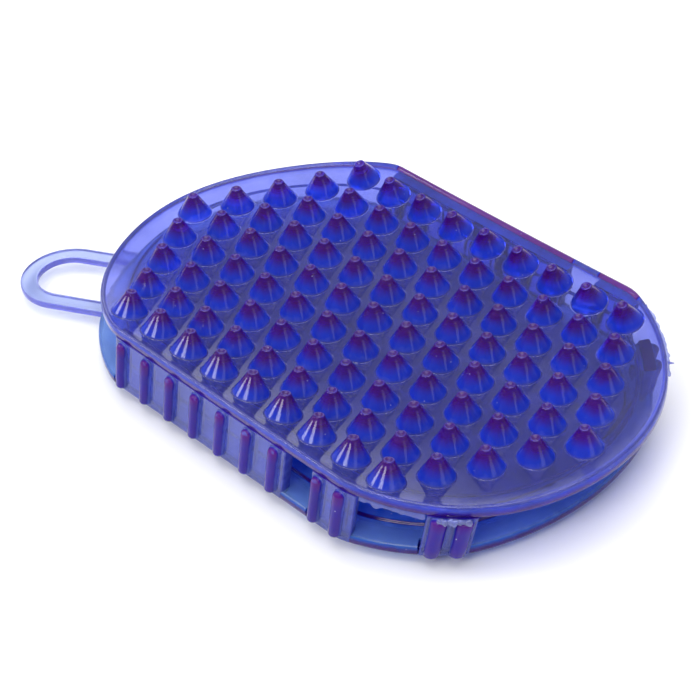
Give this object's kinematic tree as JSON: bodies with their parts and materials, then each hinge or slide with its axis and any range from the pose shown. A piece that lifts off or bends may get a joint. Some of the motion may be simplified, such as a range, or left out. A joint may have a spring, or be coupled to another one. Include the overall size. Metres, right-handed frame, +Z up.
{
  "type": "grooming glove",
  "caption": "Flat translucent gel grooming mitt: a coned massage pad joined by ribbed side walls to a nubbed pad, open at the wrist and finger ends, with a hanging loop.",
  "frame": {"origin": "centre of the resting plane, at the tip of the middle nub of the lower pad", "axes": "+X from the open wrist end to the finger end, +Y across the palm, +Z up from the nubs to the cones"},
  "size_m": [0.192, 0.108, 0.0272],
  "materials": {
    "cone_pad_gel": "translucent glossy blue gel, violet towards the cone tips",
    "nub_pad_gel": "translucent glossy blue gel",
    "wall_gel": "translucent glossy blue gel, violet on the ribs",
    "loop_gel": "thin pale periwinkle gel",
    "weld_gel": "clear bubbly bead"
  },
  "bodies": {
    "base": {"base_nub_pad": "nub_pad_gel", "near_side_wall": "wall_gel", "near_palm_strap": "wall_gel", "near_nose_strap": "wall_gel", "far_side_wall": "wall_gel", "far_palm_strap": "wall_gel", "far_nose_strap": "wall_gel"},
    "upper_pad": {"top_nub_pad": "cone_pad_gel", "near_side_wall_weld": "weld_gel", "near_palm_strap_weld": "weld_gel", "near_nose_strap_weld": "weld_gel", "far_side_wall_weld": "weld_gel", "far_palm_strap_weld": "weld_gel", "far_nose_strap_weld": "weld_gel"},
    "loop": {"hanging_loop": "loop_gel"}
  },
  "joints": [
    {"name": "pad_squeeze", "type": "slide", "parent": "base", "child": "upper_pad", "axis": [0, 0, 1], "range_m": [-0.006, 0], "stiffness_N_per_m": 1500, "deforming": ["near_side_wall", "near_palm_strap", "near_nose_strap", "far_side_wall", "far_palm_strap", "far_nose_strap"]},
    {"name": "loop_flex", "type": "hinge", "parent": "base", "child": "loop", "pos_m": [-0.07982, -0.02697, 0.0045], "axis": [-0.4695, 0.8829, 0], "range_deg": [-6, 90], "stiffness_Nm_per_rad": 0.004}
  ]
}
